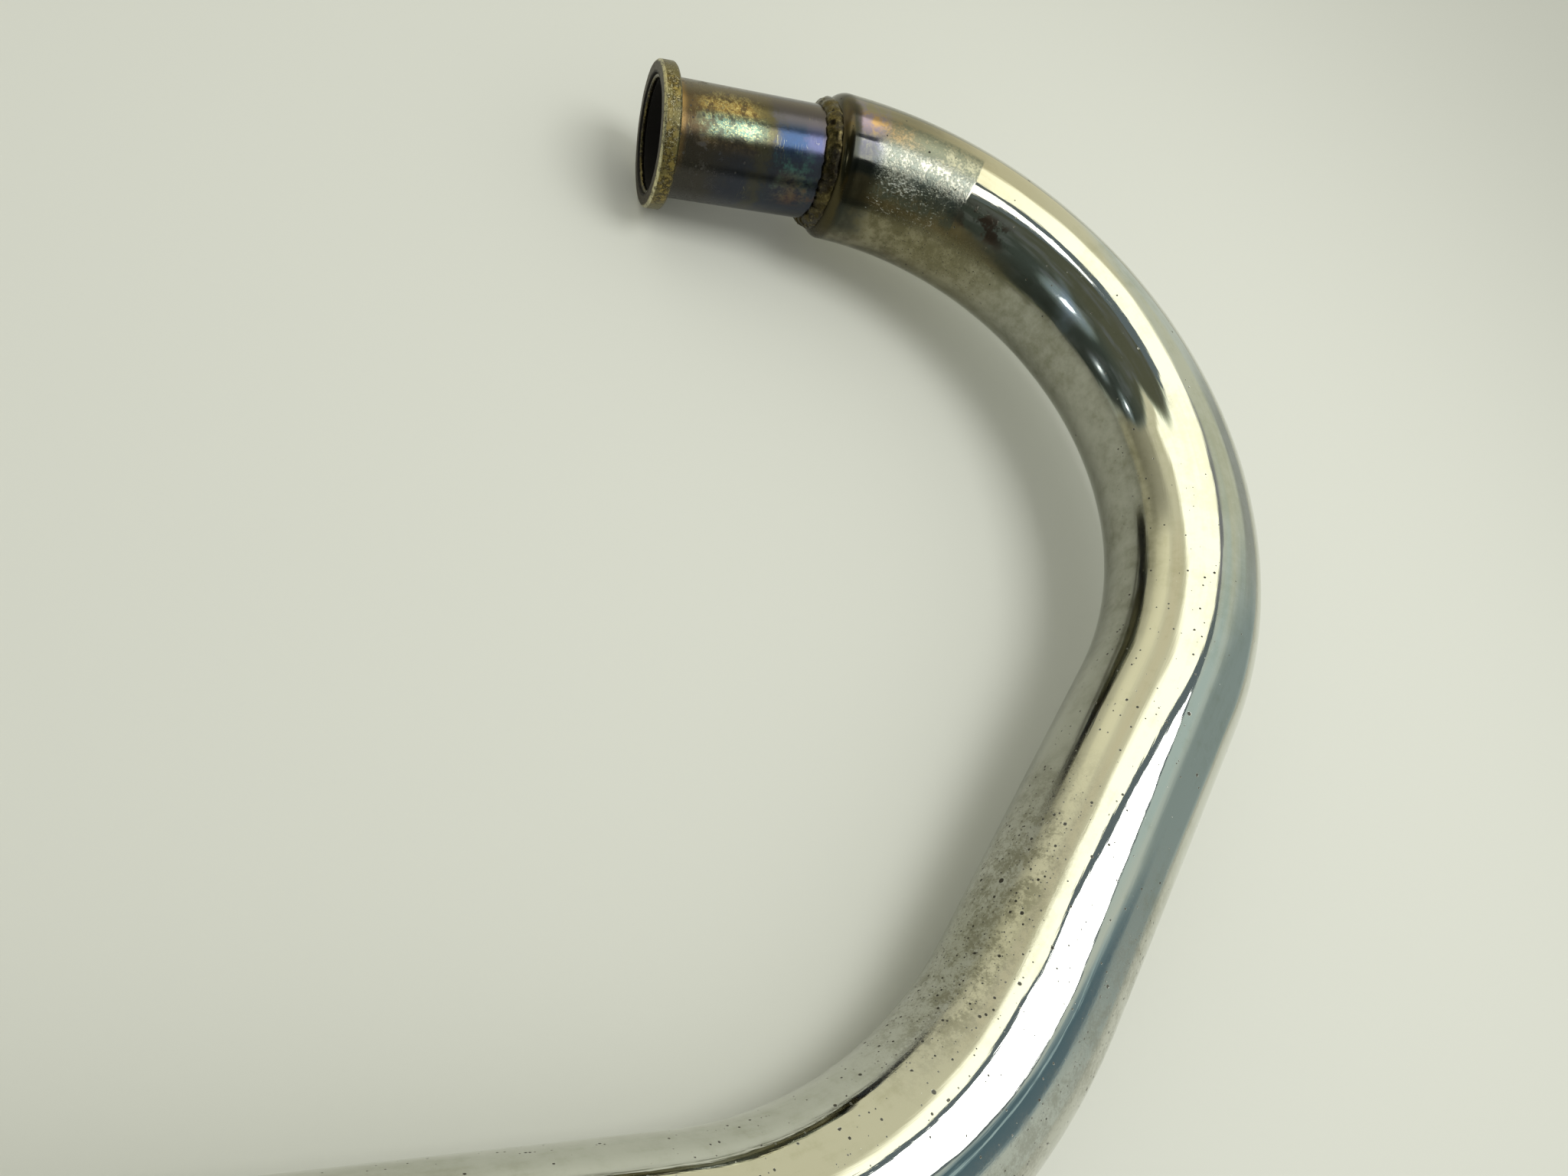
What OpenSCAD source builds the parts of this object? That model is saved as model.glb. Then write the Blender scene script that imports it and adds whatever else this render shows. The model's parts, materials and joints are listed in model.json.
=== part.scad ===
// Exhaust header of a motorcycle: a bent gas pipe inside a chromed outer pipe.
// The pipe is drawn along its own path, from the face of the collar at the cylinder head, and
// then laid on the ground the way it comes to rest, with the middle of its base at the origin.

/* [Path] */
// Straight run from the face of the collar to the first bend
port_run = 50; // [30:1:80]
// Radius of both bends, at the middle of the pipe
bend_r = 112; // [80:1:150]
// Angle of the first bend
first_angle = 129; // [100:1:135]
// Straight run between the two bends
mid_run = 92; // [60:1:130]
// Turn of the second bend about the middle run, which takes the tail out of the first plane
twist_angle = -15; // [-25:1:-5]
// Angle of the second bend
second_angle = 54; // [40:1:70]
// Straight run from the second bend to the tail end
tail_run = 240; // [180:1:300]
// Growth of the pipe's radius and of its wall inwards where the bender has gripped it
bend_growth = 0.15; // [0.15:0.05:0.3]

/* [Inner pipe] */
// Outer diameter of the gas pipe
inner_od = 35; // [30:0.5:37]
// Wall of the gas pipe
inner_wall = 1.5; // [1:0.1:2.5]
// Distance from the face of the collar to the mouth of the outer pipe
stub_show = 56; // [40:1:90]

/* [Outer pipe] */
// Wall of the chromed pipe
outer_wall = 1.2; // [0.8:0.1:2]
// Air gap between the gas pipe and the chromed pipe, which keeps the chrome cooler
air_gap = 3.8; // [3:0.1:10]
// Play of the gas pipe in the mouth of the shoulder
mouth_play = 0.5; // [0.5:0.1:1]

/* [Collar] */
// Height of the collar's rim above the gas pipe
collar_h = 4; // [3:0.5:8]
// Thickness of the collar
collar_t = 5.5; // [4:0.5:8]
// Bevel on both outer edges of the collar
collar_bevel = 0.7; // [0.3:0.1:1.2]
// Depth at which the gas pipe ends behind the face of the collar
pipe_setback = 2; // [1:0.5:3]

/* [Welds] */
// Depth of the collar's weld behind the collar's face
weld_recess = 0.4; // [0.2:0.1:0.8]
// Radius of the weld bead between the shoulder and the gas pipe
bead_r = 1.8; // [1:0.1:2.5]
// Height of the middle of that bead above the gas pipe
bead_lift = 0.3; // [0:0.1:0.8]

/* [Hidden] */
$fn = 96;

inner_r = inner_od / 2;
gas_r = inner_r - inner_wall;
outer_r = inner_r + air_gap + outer_wall;
collar_r = inner_r + collar_h;
mouth_r = inner_r + mouth_play;
// Radius of the rounded shoulder that closes the outer pipe onto the gas pipe
shoulder_round = outer_r - mouth_r;
// How far a cutting shape runs past the surface that it cuts
over = 1;
// How far a straight run reaches into the slightly thicker wall of the bend beside it
lap = 0.1;

// Share of the second bend at which the pipe touches the ground, under its balance point
touch_share = 0.583;
// Passes that settle the resting direction, and steps along each bend in the search for its reach
settle_passes = 12;
bend_steps = 60;

// Colours of the surfaces
chrome = [0.80, 0.79, 0.75];
tinted_steel = [0.34, 0.32, 0.38];
scaled_steel = [0.52, 0.46, 0.30];
weld_metal = [0.40, 0.36, 0.26];

// Moves along the path. Each one starts where the pipe runs along +Z and bends towards +X.
function ahead(l) = [[1, 0, 0, 0], [0, 1, 0, 0], [0, 0, 1, l], [0, 0, 0, 1]];
function turned(a) =
    [[cos(a), -sin(a), 0, 0], [sin(a), cos(a), 0, 0], [0, 0, 1, 0], [0, 0, 0, 1]];
function bent(a) =
    [[cos(a), 0, sin(a), bend_r * (1 - cos(a))], [0, 1, 0, 0],
     [-sin(a), 0, cos(a), bend_r * sin(a)], [0, 0, 0, 1]];

// Stations of the path
bend1_at = ahead(port_run);
mid_at = bend1_at * bent(first_angle);
bend2_at = mid_at * ahead(mid_run) * turned(twist_angle);
tail_at = bend2_at * bent(second_angle);
end_at = tail_at * ahead(tail_run);

// The shoulder is a straight stretch. It ends square to the path at shoulder_end, which lies on
// the port run or a few degrees into the first bend, and the outer pipe carries on from there.
shoulder_end = stub_show + shoulder_round;
lead = max(0, port_run - shoulder_end);
lead_angle = max(0, shoulder_end - port_run) / bend_r * 180 / PI;
shoulder_end_at = ahead(min(port_run, shoulder_end)) * bent(lead_angle);
shoulder_at = shoulder_end_at * ahead(-shoulder_round);

// The resting direction. The collar's rim and the second bend lie on the ground, and the ground
// also runs along the pipe where the bend touches it.
function unit(v) = v / norm(v);
function centre(m) = [m[0][3], m[1][3], m[2][3]];
function along(m) = [m[0][2], m[1][2], m[2][2]];
function lowest(m, r, up) = centre(m) - r * unit(up - (up * along(m)) * along(m));
rim_at = ahead(collar_bevel);
back_rim_at = ahead(collar_t - collar_bevel);
touch_at = bend2_at * bent(touch_share * second_angle);
function settled(up, passes) = passes == 0 ? up : settled(
    unit(cross(along(touch_at),
        lowest(touch_at, outer_r + bend_growth, up) - lowest(rim_at, collar_r, up))),
    passes - 1);

up = settled([0, -1, 0], settle_passes);
forward = unit(along(tail_at) - (along(tail_at) * up) * up);
left = cross(up, forward);

// The furthest reach of the pipe in a direction, over the ends, the runs and the bends
rings = concat(
    [[ahead(0), collar_r - collar_bevel], [rim_at, collar_r], [back_rim_at, collar_r]],
    [[shoulder_end_at, outer_r], [end_at, outer_r]],
    [for (i = [0:bend_steps]) if (first_angle * i / bend_steps >= lead_angle)
        [bend1_at * bent(first_angle * i / bend_steps), outer_r + bend_growth]],
    [for (i = [0:bend_steps])
        [bend2_at * bent(second_angle * i / bend_steps), outer_r + bend_growth]]);
function reach(d) = max([for (ring = rings)
    centre(ring[0]) * d + ring[1] * sqrt(max(0, 1 - (along(ring[0]) * d) ^ 2))]);
function middle(d) = (reach(d) - reach(-d)) / 2;

laid = [
    [forward[0], forward[1], forward[2], -middle(forward)],
    [left[0], left[1], left[2], -middle(left)],
    [up[0], up[1], up[2], reach(-up)],
    [0, 0, 0, 1]];

// Section of a pipe
module ring(r, bore) {
    difference() {
        circle(r);
        circle(bore);
    }
}

// Straight stretch of pipe, along +Z
module run(l, r, bore) {
    linear_extrude(l) ring(r, bore);
}

// Turns a section in the XY plane through a bend, from +Z towards +X
module turn_section(a) {
    translate([bend_r, 0, 0]) rotate([90, 0, 180])
        rotate_extrude(angle = a) translate([bend_r, 0]) children();
}

// Bend of pipe
module bend(a, r, bore) {
    turn_section(a) ring(r + bend_growth, bore - bend_growth);
}

// The stretches that both pipes share: middle run, second bend and tail run
module rest_of_pipe(r, bore) {
    multmatrix(mid_at) translate([0, 0, -lap]) run(mid_run + 2 * lap, r, bore);
    multmatrix(bend2_at) bend(second_angle, r, bore);
    multmatrix(tail_at) translate([0, 0, -lap]) run(tail_run + lap, r, bore);
}

// Full round of the gas pipe along the port run and the first bend, to cut other pieces with
module gas_pipe_round() {
    cylinder(h = port_run + lap, r = inner_r);
    multmatrix(bend1_at) turn_section(first_angle) circle(inner_r + bend_growth);
}

// Half section of the shoulder: a quarter round from the mouth out to the wall of the outer pipe
module shoulder_section() {
    translate([mouth_r, shoulder_round]) intersection() {
        ring(shoulder_round, shoulder_round - outer_wall);
        translate([0, -shoulder_round]) square(shoulder_round);
    }
    translate([outer_r - outer_wall, shoulder_round]) square([outer_wall, lead + lap]);
}

// Half section of the weld bead in front of the shoulder
module bead_section() {
    difference() {
        translate([inner_r + bead_lift, 0]) circle(bead_r);
        translate([mouth_r, shoulder_round]) circle(shoulder_round);
        square([mouth_r, bead_r + over]);
        translate([0, -bead_r - over]) square([inner_r - mouth_play, 2 * (bead_r + over)]);
    }
}

// Turned collar that seats in the port of the cylinder head
module port_collar() {
    color(scaled_steel) multmatrix(laid) rotate_extrude() polygon([
        [inner_r, 0],
        [collar_r - collar_bevel, 0],
        [collar_r, collar_bevel],
        [collar_r, collar_t - collar_bevel],
        [collar_r - collar_bevel, collar_t],
        [inner_r, collar_t]]);
}

// Weld inside the mouth, from the bore of the collar to the end of the gas pipe
module collar_weld() {
    color(weld_metal) multmatrix(laid) rotate_extrude() polygon([
        [inner_r, weld_recess],
        [inner_r, pipe_setback],
        [gas_r, pipe_setback]]);
}

// Gas pipe, from the collar through both bends to the tail end
module inner_pipe() {
    color(tinted_steel) multmatrix(laid) {
        translate([0, 0, pipe_setback]) run(port_run - pipe_setback + lap, inner_r, gas_r);
        multmatrix(bend1_at) bend(first_angle, inner_r, gas_r);
        rest_of_pipe(inner_r, gas_r);
    }
}

// Weld bead that closes the mouth of the shoulder onto the gas pipe
module neck_weld() {
    color(weld_metal) multmatrix(laid) difference() {
        multmatrix(shoulder_at) rotate_extrude() bead_section();
        gas_pipe_round();
    }
}

// Chromed outer pipe, with its rounded shoulder
module outer_pipe() {
    color(chrome) multmatrix(laid) {
        multmatrix(shoulder_at) rotate_extrude() shoulder_section();
        multmatrix(bend1_at * bent(lead_angle))
            bend(first_angle - lead_angle, outer_r, outer_r - outer_wall);
        rest_of_pipe(outer_r, outer_r - outer_wall);
    }
}

port_collar();
collar_weld();
inner_pipe();
neck_weld();
outer_pipe();
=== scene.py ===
"""Finish of a motorcycle exhaust header: worn chrome, a heat-tinted gas pipe and its welds.

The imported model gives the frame. Each piece is modelled again along the same centre line, with
closer rings and the unevenness of the real one, and takes the place of its CAD node. Materials
read the attribute "straight", which holds where a point would lie if the pipe were unbent.
"""

import json
import logging
import math
from dataclasses import dataclass
from enum import Enum

import bpy
import numpy as np
from mathutils import Matrix, Vector


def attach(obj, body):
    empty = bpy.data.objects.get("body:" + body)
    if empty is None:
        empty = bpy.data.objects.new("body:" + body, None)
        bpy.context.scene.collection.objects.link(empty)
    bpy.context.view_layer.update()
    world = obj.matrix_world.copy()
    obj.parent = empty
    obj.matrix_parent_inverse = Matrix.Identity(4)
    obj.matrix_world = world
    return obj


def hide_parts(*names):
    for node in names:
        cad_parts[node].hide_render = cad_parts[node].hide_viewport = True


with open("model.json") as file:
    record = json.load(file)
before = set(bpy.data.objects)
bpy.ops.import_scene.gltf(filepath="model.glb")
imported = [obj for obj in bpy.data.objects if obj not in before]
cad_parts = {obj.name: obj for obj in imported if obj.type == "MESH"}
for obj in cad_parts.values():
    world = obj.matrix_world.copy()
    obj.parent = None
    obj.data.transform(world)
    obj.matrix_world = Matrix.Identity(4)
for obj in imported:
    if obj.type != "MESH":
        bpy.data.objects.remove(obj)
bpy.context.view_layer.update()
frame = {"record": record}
LOG = logging.getLogger("header")

MM = 0.001
STRAIGHT = "straight"
BODY = "root"
DEGREES = 180 / math.pi
FULL_TURN = 360.0
SMOOTH_ANGLE = math.radians(38)
TOUCH = 1e-6
# A noise swings about this value
MIDDLE = 0.5

# A written colour or a colour socket
Colour = str | bpy.types.NodeSocket


class Slot(Enum):
    """Material slots of the record."""

    CHROME = "chrome_pipe"
    TINTED = "tinted_steel"
    SCALED = "scaled_steel"
    WELD = "weld_metal"


def linear(colour: str) -> tuple[float, float, float, float]:
    """Turns a written colour into the linear values that a shader takes.

    Args:
        colour: Six hexadecimal digits after a hash sign.

    Returns:
        Red, green, blue and an alpha of one.
    """
    parts = [int(colour[i : i + 2], 16) / 255 for i in (1, 3, 5)]
    red, green, blue = (c / 12.92 if c < 0.04045 else ((c + 0.055) / 1.055) ** 2.4 for c in parts)
    return red, green, blue, 1.0


class Signal:
    """A number that varies in a shader, with arithmetic that adds Math nodes."""

    def __init__(self, paint: "Painter", socket: bpy.types.NodeSocket) -> None:
        """Wraps an output socket of a node."""
        self.paint = paint
        self.socket = socket

    def math(self, operation: str, *others: "Signal | float", clamp: bool = False) -> "Signal":
        """Adds a Math node.

        Args:
            operation: Name of the node's operation.
            others: The node's other inputs.
            clamp: Whether the result is kept between zero and one.

        Returns:
            The node's result.
        """
        settings = {"operation": operation, "use_clamp": clamp}
        node = self.paint.node("ShaderNodeMath", settings, list((self, *others)))
        return Signal(self.paint, node.outputs[0])

    def reflected(self, operation: str, first: float) -> "Signal":
        """Adds a Math node whose first input is a plain number."""
        node = self.paint.node("ShaderNodeMath", {"operation": operation}, [first, self])
        return Signal(self.paint, node.outputs[0])

    def __add__(self, other: "Signal | float") -> "Signal":
        """Sum."""
        return self.math("ADD", other)

    def __radd__(self, other: float) -> "Signal":
        """Sum with the number first."""
        return self + other

    def __sub__(self, other: "Signal | float") -> "Signal":
        """Difference."""
        return self.math("SUBTRACT", other)

    def __rsub__(self, other: float) -> "Signal":
        """Difference with the number first."""
        return self.reflected("SUBTRACT", other)

    def __mul__(self, other: "Signal | float") -> "Signal":
        """Product."""
        return self.math("MULTIPLY", other)

    def __rmul__(self, other: float) -> "Signal":
        """Product with the number first."""
        return self * other

    def __truediv__(self, other: "Signal | float") -> "Signal":
        """Quotient."""
        return self.math("DIVIDE", other)

    def __pow__(self, other: "Signal | float") -> "Signal":
        """Power."""
        return self.math("POWER", other)

    def highest(self, other: "Signal | float") -> "Signal":
        """The larger of two values."""
        return self.math("MAXIMUM", other)

    def lowest(self, other: "Signal | float") -> "Signal":
        """The smaller of two values."""
        return self.math("MINIMUM", other)

    def rise(self, low: float, high: float) -> "Signal":
        """Goes smoothly from zero at low to one at high, or the other way where low is above high."""
        settings = {"interpolation_type": "SMOOTHSTEP"}
        ends = [low, high, 0.0, 1.0] if low < high else [high, low, 1.0, 0.0]
        node = self.paint.node("ShaderNodeMapRange", settings, [self, *ends])
        return Signal(self.paint, node.outputs[0])

    def band(self, low: float, high: float, soft: float) -> "Signal":
        """One between low and high, and fading to zero over soft on both sides."""
        return self.rise(low - soft, low + soft) * self.rise(high + soft, high - soft)


@dataclass(frozen=True)
class Grain:
    """A noise: waves per metre, octaves, their roughness, and its pull along the pipe."""

    scale: float
    detail: float
    rough: float = 0.5
    along: float = 1.0


@dataclass(frozen=True)
class Speck:
    """Round specks at random places.

    Attributes:
        pitch: Mean distance between the places in mm.
        size: Radius of a speck in mm.
        share: Share of the places that have a speck.
        haze: How much larger that share is in the dirty haze.
        under: How much larger it is on the underside.
        strength: How strongly a speck shows.
    """

    pitch: float
    size: float
    share: float
    haze: float = 0.0
    under: float = 0.0
    strength: float = 1.0


@dataclass(frozen=True)
class Area:
    """An area of the unbent pipe, or a whole piece where no place is given.

    Attributes:
        along: Stations in mm where it is absent and where it is full, or its start, end and fade.
        side: Middle of its side from the inside of the first bend, half its width and its fade,
            in degrees.
        radii: Distances from the centre line in mm where it is absent and where it is full.
        share: How much of it is there in any case.
        broken: How much more of it the noise adds.
        breaks: Noise levels between which that grows. The plain noise counts without them.
    """

    along: tuple[float, ...] = ()
    side: tuple[float, ...] = ()
    radii: tuple[float, ...] = ()
    share: float = 1.0
    broken: float = 0.0
    breaks: tuple[float, ...] = ()


def mottling(low: float, high: float, **place: tuple[float, ...]) -> Area:
    """An area that is there only where the noise is high.

    Args:
        low: Noise level where it begins.
        high: Noise level where it is full.
        place: Its stations, side and radii.

    Returns:
        The area.
    """
    return Area(share=0.0, broken=1.0, breaks=(low, high), **place)


@dataclass(frozen=True)
class Layer:
    """What lies on an area, and what it adds to the surface where it is full.

    Attributes:
        colour: Its colour.
        tint: How much of the colour shows.
        area: Where it lies.
        rough: What it adds to the roughness.
        metal: What it adds to the metallic share.
        relief: What it adds to the height.
    """

    colour: str
    tint: float = 1.0
    area: Area = Area()
    rough: float = 0.0
    metal: float = 0.0
    relief: float = 0.0


class Painter:
    """Builds a node tree."""

    SPECK_EDGE = 0.15

    def __init__(self, tree: bpy.types.NodeTree) -> None:
        """Starts on an empty tree."""
        self.tree = tree
        tree.nodes.clear()

    def node(
        self, kind: str, settings: dict | None = None, inputs: dict | list | None = None
    ) -> bpy.types.Node:
        """Adds one node.

        Args:
            kind: The node's type.
            settings: Its properties, set before its sockets.
            inputs: Values, signals or sockets by the socket's name, or in order.

        Returns:
            The node.
        """
        node = self.tree.nodes.new(kind)
        for name, value in (settings or {}).items():
            setattr(node, name, value)
        pairs = enumerate(inputs) if isinstance(inputs, list) else (inputs or {}).items()
        for name, value in pairs:
            socket = node.inputs[name]
            if isinstance(value, Signal):
                self.tree.links.new(value.socket, socket)
            elif isinstance(value, bpy.types.NodeSocket):
                self.tree.links.new(value, socket)
            else:
                socket.default_value = value
        return node

    def noise(self, where: bpy.types.NodeSocket, grain: Grain) -> Signal:
        """Adds a noise texture.

        Args:
            where: Coordinates.
            grain: The kind of noise.

        Returns:
            A value that is mostly between 0.3 and 0.7.
        """
        if grain.along != 1.0:
            inputs = {"Vector": where, "Scale": (1, 1, grain.along)}
            where = self.node("ShaderNodeMapping", {"vector_type": "POINT"}, inputs).outputs[0]
        inputs = {
            "Vector": where,
            "Scale": grain.scale,
            "Detail": grain.detail,
            "Roughness": grain.rough,
        }
        return Signal(self, self.node("ShaderNodeTexNoise", None, inputs).outputs["Fac"])

    def specks(self, where: bpy.types.NodeSocket, speck: Speck, share: Signal | float) -> Signal:
        """Adds round specks at random places.

        Args:
            where: Coordinates.
            speck: Their distance and size.
            share: Share of the places that have a speck.

        Returns:
            One on a speck and zero beside it.
        """
        inputs = {"Vector": where, "Scale": 1 / (speck.pitch * MM)}
        cells = self.node("ShaderNodeTexVoronoi", {"feature": "F1"}, inputs)
        chosen = self.node("ShaderNodeSeparateColor", None, [cells.outputs["Color"]])
        kept = Signal(self, chosen.outputs["Red"]).math("LESS_THAN", share)
        radius = speck.size / speck.pitch
        growth = (Signal(self, chosen.outputs["Green"]) - MIDDLE) * radius
        varied = Signal(self, cells.outputs["Distance"]) - growth
        return varied.rise(radius * (1 + self.SPECK_EDGE), radius * (1 - self.SPECK_EDGE)) * kept

    def mix(
        self, share: Signal | float, first: "Colour", second: "Colour"
    ) -> bpy.types.NodeSocket:
        """Mixes two colours.

        Args:
            share: How much of the second shows.
            first: A written colour or a socket.
            second: A written colour or a socket.

        Returns:
            The mixed colour.
        """
        ends = [linear(c) if isinstance(c, str) else c for c in (first, second)]
        inputs = {0: share, 6: ends[0], 7: ends[1]}
        return self.node("ShaderNodeMix", {"data_type": "RGBA"}, inputs).outputs[2]


def weighted(signals: tuple[Signal, ...], weights: tuple[float, ...]) -> Signal:
    """Sums signals, each times its weight."""
    total = signals[0] * weights[0]
    for signal, weight in zip(signals[1:], weights[1:]):
        total = total + signal * weight
    return total


class Place:
    """Where a point lies on the unbent pipe."""

    def __init__(self, paint: Painter) -> None:
        """Reads the attribute that every piece carries."""
        self.paint = paint
        settings = {"attribute_type": "GEOMETRY", "attribute_name": STRAIGHT}
        self.vector = paint.node("ShaderNodeAttribute", settings).outputs["Vector"]
        parts = paint.node("ShaderNodeSeparateXYZ", None, [self.vector])
        self.x, self.y = (Signal(paint, parts.outputs[i]) for i in (0, 1))
        self.station = Signal(paint, parts.outputs[2]) / MM
        self.radius = (self.x * self.x + self.y * self.y) ** 0.5 / MM

    def facing(self, angle: float, half: float, soft: float) -> Signal:
        """One on the side of the pipe around an angle.

        Args:
            angle: Middle of the side, from the inside of the first bend, in degrees.
            half: Half of its width in degrees.
            soft: Width of the fade on both sides in degrees.

        Returns:
            The mask.
        """
        turn = math.radians(angle)
        across = (self.x * math.cos(turn) + self.y * math.sin(turn)) / (self.radius * MM)
        outer = math.cos(math.radians(min(180, half + soft)))
        inner = math.cos(math.radians(max(0, half - soft)))
        return across.rise(outer, inner)

    def stray(self, noises: tuple[Signal, ...], widths: tuple[float, ...]) -> Signal:
        """The station in mm, with noises that make an edge wander by their widths."""
        return self.station + weighted(tuple(noise - MIDDLE for noise in noises), widths)

    def mask(
        self, area: Area, reach: Signal | None = None, grain: Signal | None = None
    ) -> "Signal | float":
        """Marks an area.

        Args:
            area: The area.
            reach: The station that its ends go by, where it isn't the plain one.
            grain: The noise that breaks it up.

        Returns:
            One where it is full and zero beside it.
        """
        found: Signal | float = area.share
        if area.broken:
            spread = grain.rise(*area.breaks) if area.breaks else grain
            found = spread * area.broken + area.share
        if area.along:
            station = reach or self.station
            stretch = station.rise if len(area.along) == 2 else station.band
            found = stretch(*area.along) * found
        if area.side:
            found = self.facing(*area.side) * found
        if area.radii:
            found = self.radius.rise(*area.radii) * found
        return found


class Coat:
    """The look of a finish while its layers go on."""

    def __init__(
        self, place: Place, colour: str, rough: Signal | float = 0.0, relief: Signal | float = 0.0
    ) -> None:
        """Starts with bare metal."""
        self.paint = place.paint
        self.place = place
        self.colour: Colour = colour
        self.rough = rough
        self.relief = relief
        self.metal: Signal | float = 1.0

    def alter(
        self, mask: Signal, rough: float = 0.0, metal: float = 0.0, relief: float = 0.0
    ) -> None:
        """Changes the surface.

        Args:
            mask: Where.
            rough: What is added to the roughness.
            metal: What is added to the metallic share.
            relief: What is added to the height.
        """
        if rough:
            self.rough = self.rough + mask * rough
        if metal:
            self.metal = self.metal + mask * metal
        if relief:
            self.relief = self.relief + mask * relief

    def lay(self, layer: Layer, mask: Signal) -> None:
        """Lays a layer on by a mask.

        Args:
            layer: The layer, whose own area isn't used.
            mask: Where it lies.
        """
        self.colour = self.paint.mix(mask * layer.tint, self.colour, layer.colour)
        self.alter(mask, layer.rough, layer.metal, layer.relief)

    def add(
        self, layer: Layer, reach: Signal | None = None, grain: Signal | None = None
    ) -> Signal:
        """Lays a layer on its own area.

        Args:
            layer: The layer.
            reach: The station that its ends go by, where it isn't the plain one.
            grain: The noise that breaks it up.

        Returns:
            Where it lies.
        """
        mask = self.place.mask(layer.area, reach, grain)
        self.lay(layer, mask)
        return mask


@dataclass(frozen=True)
class Finish:
    """A material of the header. Each kind fills in its own paint method.

    Attributes:
        name: The material's name.
        rough: Its mean roughness.
        rough_grain: How much its noise changes that.
        least_rough: Its least roughness.
        depth: Real height of its relief in mm.
    """

    name: str
    rough: float = 0.3
    rough_grain: float = 0.1
    least_rough: float = 0.03
    depth: float = 0.1

    def build(self) -> bpy.types.Material:
        """Makes the material and paints it.

        Returns:
            The material.
        """
        material = bpy.data.materials.new(self.name)
        material.use_nodes = True
        paint = Painter(material.node_tree)
        coat = self.paint(paint, Place(paint))
        bump = {"Distance": self.depth * MM, "Height": coat.relief}
        sockets = {
            "Base Color": coat.colour,
            "Roughness": coat.rough.math("MAXIMUM", self.least_rough, clamp=True),
            "Metallic": coat.metal.math("MAXIMUM", 0.0, clamp=True),
            "Normal": paint.node("ShaderNodeBump", None, bump).outputs[0],
        }
        shader = paint.node("ShaderNodeBsdfPrincipled", None, sockets)
        paint.node("ShaderNodeOutputMaterial", None, {"Surface": shader.outputs[0]})
        return material

    def paint(self, paint: Painter, place: Place) -> Coat:
        """Lays the finish's layers on.

        Args:
            paint: The node tree's builder.
            place: The unbent place.

        Returns:
            The finished coat.
        """
        raise NotImplementedError

    def uneven_rough(self, grain: Signal) -> Signal:
        """The roughness before any layer."""
        return (grain - MIDDLE) * self.rough_grain + self.rough


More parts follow.
